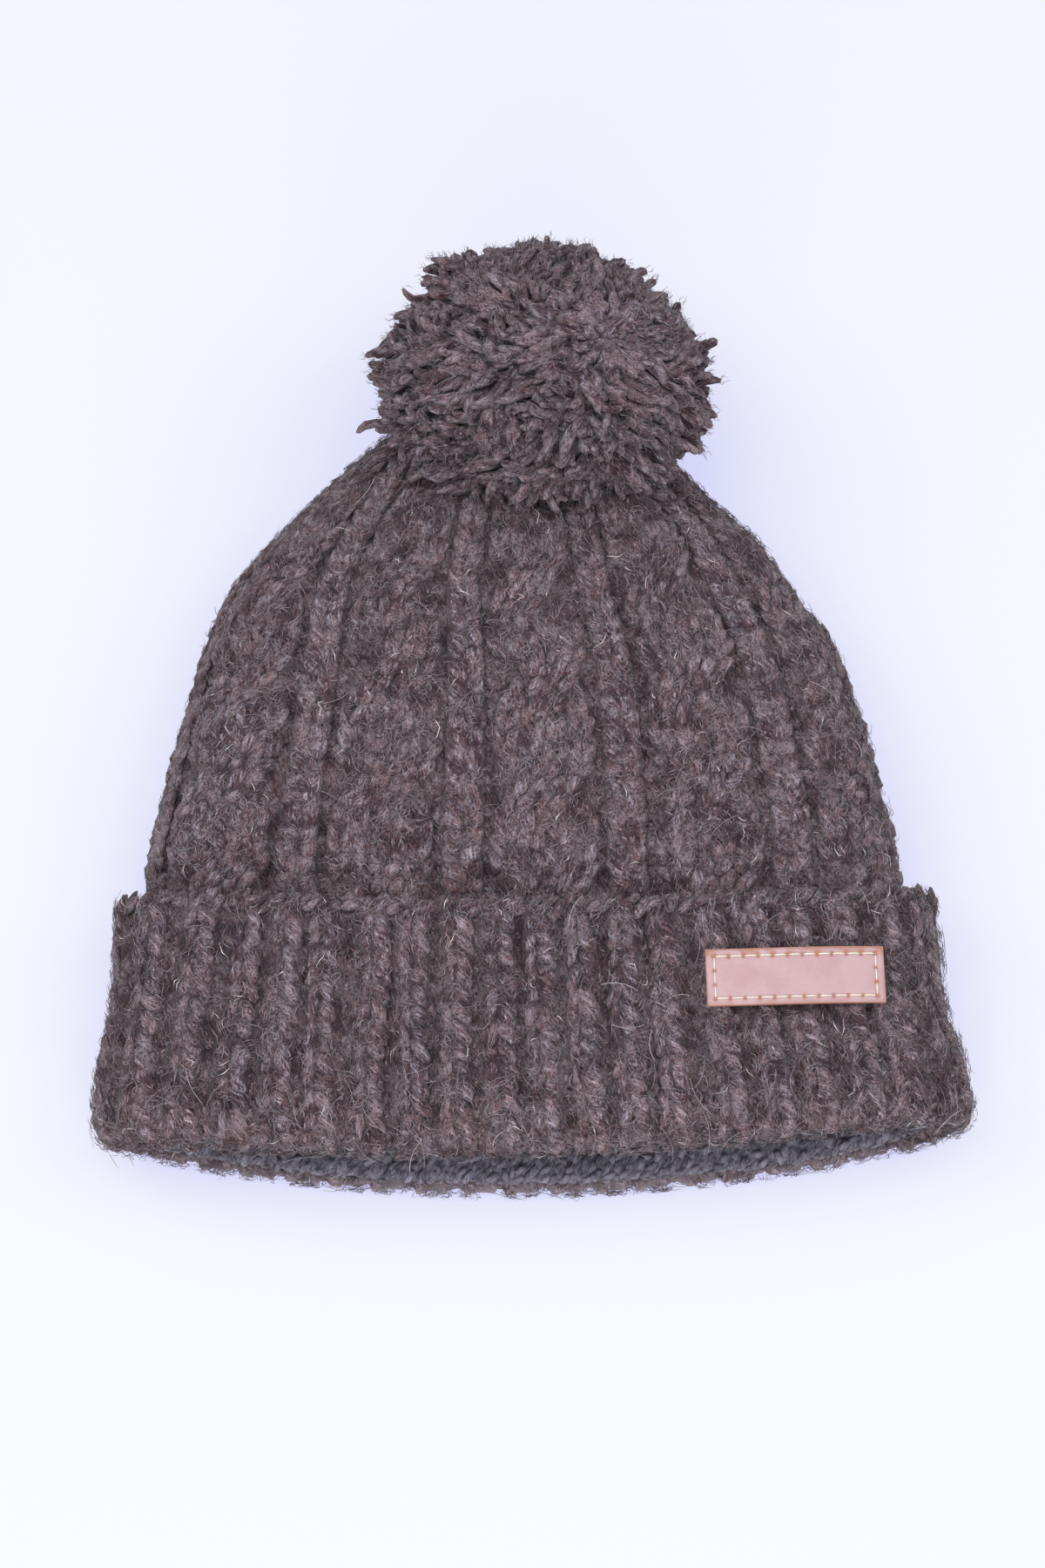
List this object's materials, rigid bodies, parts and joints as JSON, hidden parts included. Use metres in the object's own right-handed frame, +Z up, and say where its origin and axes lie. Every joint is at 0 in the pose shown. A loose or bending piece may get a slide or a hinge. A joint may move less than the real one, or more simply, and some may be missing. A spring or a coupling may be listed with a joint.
{
  "type": "bobble hat",
  "caption": "Hollow knitted hat lying flat, with a cabled crown, a turned-up ribbed cuff, a fleece-lined rim, a yarn pompom and a bare leather label patch.",
  "frame": {"origin": "centre of the hat's box in plan, on the floor that the hat lies on", "axes": "+Y from the rim to the pompom, +Z up through the front of the hat, +X towards the side with the label"},
  "size_m": [0.2464, 0.2744, 0.085],
  "materials": {
    "crown_knit": "heathered grey-brown wool in a cabled knit with a hairy surface",
    "cuff_rib": "the same heathered wool in a single rib",
    "lining_fleece": "dark blue-grey looped fleece",
    "pompom_yarn": "cut ends of the same wool yarn",
    "label_leather": "smooth tan leather with a stitched border"
  },
  "bodies": {
    "root": {"crown": "crown_knit", "cuff": "cuff_rib", "lining_band": "lining_fleece", "pompom": "pompom_yarn", "label_patch": "label_leather"}
  },
  "joints": []
}
